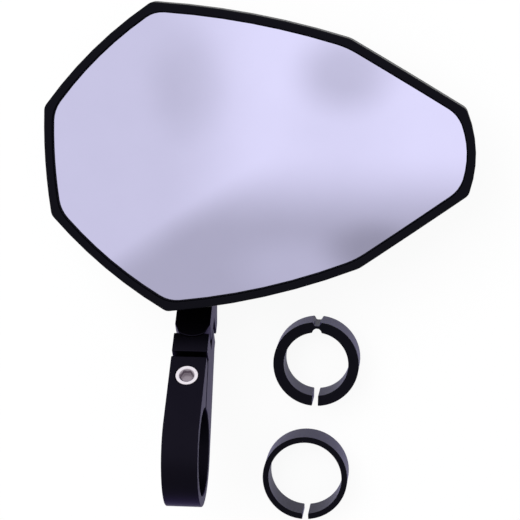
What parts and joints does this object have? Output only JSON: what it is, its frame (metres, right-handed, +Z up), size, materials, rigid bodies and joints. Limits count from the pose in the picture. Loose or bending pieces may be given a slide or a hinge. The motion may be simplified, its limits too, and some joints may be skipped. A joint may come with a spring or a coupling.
{
  "type": "bicycle handlebar mirror",
  "caption": "Angular eight-sided handlebar mirror on a folding ball-joint arm with a split clamp, lying on its back beside two loose reducer rings.",
  "frame": {"origin": "centre of the clamp's bore, on the handlebar's axis", "axes": "+X along the handlebar, +Y towards the top of the mirror, +Z up from the surface the mirror lies on, out of the glass"},
  "size_m": [0.1425, 0.1794, 0.0592],
  "materials": {
    "anodised": "satin black anodised",
    "rim": "satin black",
    "shell": "fine-textured black",
    "ring_plastic": "moulded black",
    "nylon": "natural",
    "foam": "foam pad",
    "steel": "stainless",
    "glass": "silvered"
  },
  "bodies": {
    "mirror_head": {"housing_shell": "shell", "bezel_ring": "rim", "mirror_glass": "glass", "adhesive_pad": "foam", "glass_carrier": "shell", "socket_block": "anodised", "retaining_ring": "anodised", "seat_cup": "nylon", "seat_springs": "steel", "socket_screws": "steel"},
    "ball_liner": {"ball_liner": "nylon"},
    "ball_stud": {"ball_stud": "steel", "stud_nut": "steel"},
    "swing_link": {"swing_link": "anodised", "fold_pivot": "steel"},
    "clamp_arm": {"clamp_arm": "anodised", "thread_insert": "steel", "fold_washer": "nylon", "fold_springs": "steel"},
    "clamp_bolt": {"clamp_bolt": "steel"},
    "thick_reducer": {"thick_reducer": "ring_plastic"},
    "thin_reducer": {"thin_reducer": "ring_plastic"}
  },
  "joints": [
    {"name": "head_tilt", "type": "hinge", "parent": "mirror_head", "child": "ball_liner", "pos_m": [0, 0.071, -0.028], "axis": [1, 0, 0], "range_deg": [-8.5, 6]},
    {"name": "head_pan", "type": "hinge", "parent": "ball_liner", "child": "ball_stud", "pos_m": [0, 0.071, -0.028], "axis": [0, 0, 1], "range_deg": [-12, 10]},
    {"name": "stud_swivel", "type": "hinge", "parent": "ball_stud", "child": "swing_link", "pos_m": [0, 0.071, -0.028], "axis": [0, 1, 0], "range_deg": [-12, 12]},
    {"name": "arm_fold", "type": "hinge", "parent": "swing_link", "child": "clamp_arm", "pos_m": [0, 0.0281, -0.03121], "axis": [0, 0.7431, 0.6691], "range_deg": [-70, 8]},
    {"name": "clamp_bolt_turn", "type": "hinge", "parent": "clamp_arm", "child": "clamp_bolt", "pos_m": [0, 0.01238, -0.01375], "axis": [0, 0.7431, 0.6691], "continuous": true},
    {"name": "thick_reducer_slide", "type": "slide", "parent": "mirror_head", "child": "thick_reducer", "axis": [1, 0, 0], "range_m": [0, 0.03]},
    {"name": "thin_reducer_slide", "type": "slide", "parent": "mirror_head", "child": "thin_reducer", "axis": [1, 0, 0], "range_m": [0, 0.03]}
  ]
}
